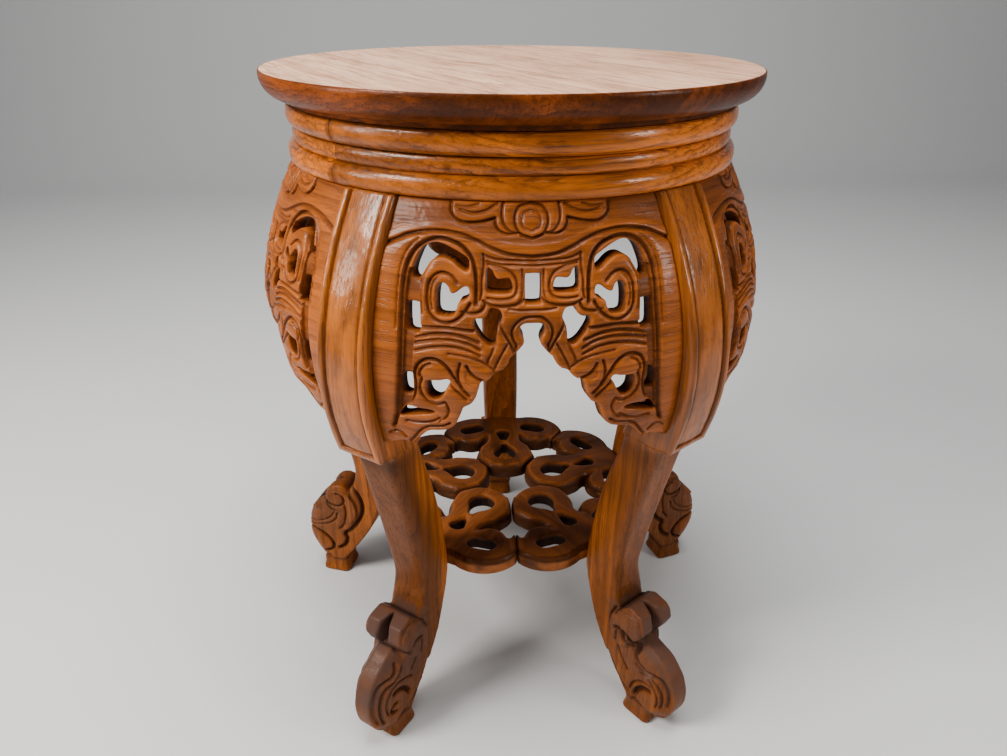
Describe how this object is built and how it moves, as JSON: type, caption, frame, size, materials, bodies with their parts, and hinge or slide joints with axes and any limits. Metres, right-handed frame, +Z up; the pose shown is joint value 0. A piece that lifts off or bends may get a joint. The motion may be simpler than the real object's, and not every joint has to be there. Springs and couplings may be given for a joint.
{
  "type": "plant stand",
  "caption": "Round carved hardwood plant stand with a beaded waist, pierced barrel aprons, cabriole legs with scroll feet and an openwork lower shelf.",
  "frame": {"origin": "on the floor, at the centre of the box round the stand in plan, which is 5.35 mm in front of the upright axis of the round top", "axes": "+Z up from the floor, -Y towards the apron that faces the viewer, +X to the viewer's right"},
  "size_m": [0.3678, 0.3649, 0.4575],
  "materials": {
    "top": "dry, worn, pale brown hardwood with fine straight grain",
    "waist": "amber lacquered hardwood, glossy",
    "leg": "red-brown lacquered hardwood, satin, worn on the bellies",
    "apron": "red-brown lacquered hardwood, satin, darker in the cuts",
    "shelf": "dark brown hardwood, satin, rounded by hand",
    "dowel": "bare hardwood, hidden in the joints"
  },
  "bodies": {
    "root": {"top_board_1": "top", "top_board_2": "top", "top_board_3": "top", "top_board_4": "top", "board_dowel_1": "dowel", "board_dowel_2": "dowel", "board_dowel_3": "dowel", "board_dowel_4": "dowel", "board_dowel_5": "dowel", "board_dowel_6": "dowel", "top_dowel_1": "dowel", "top_dowel_2": "dowel", "top_dowel_3": "dowel", "top_dowel_4": "dowel", "top_dowel_5": "dowel", "top_dowel_6": "dowel", "waist_piece_1": "waist", "waist_dowel_1": "dowel", "waist_piece_2": "waist", "waist_dowel_2": "dowel", "waist_piece_3": "waist", "waist_dowel_3": "dowel", "leg_front_left": "leg", "leg_front_right": "leg", "leg_right": "leg", "leg_back": "leg", "leg_left": "leg", "apron_front": "apron", "apron_front_right": "apron", "apron_back_right": "apron", "apron_back_left": "apron", "apron_front_left": "apron", "shelf_petal_front_left": "shelf", "petal_dowel_1": "dowel", "shelf_petal_front_right": "shelf", "petal_dowel_2": "dowel", "shelf_petal_right": "shelf", "petal_dowel_3": "dowel", "shelf_petal_back": "shelf", "petal_dowel_4": "dowel", "shelf_petal_left": "shelf", "petal_dowel_5": "dowel"}
  },
  "joints": []
}
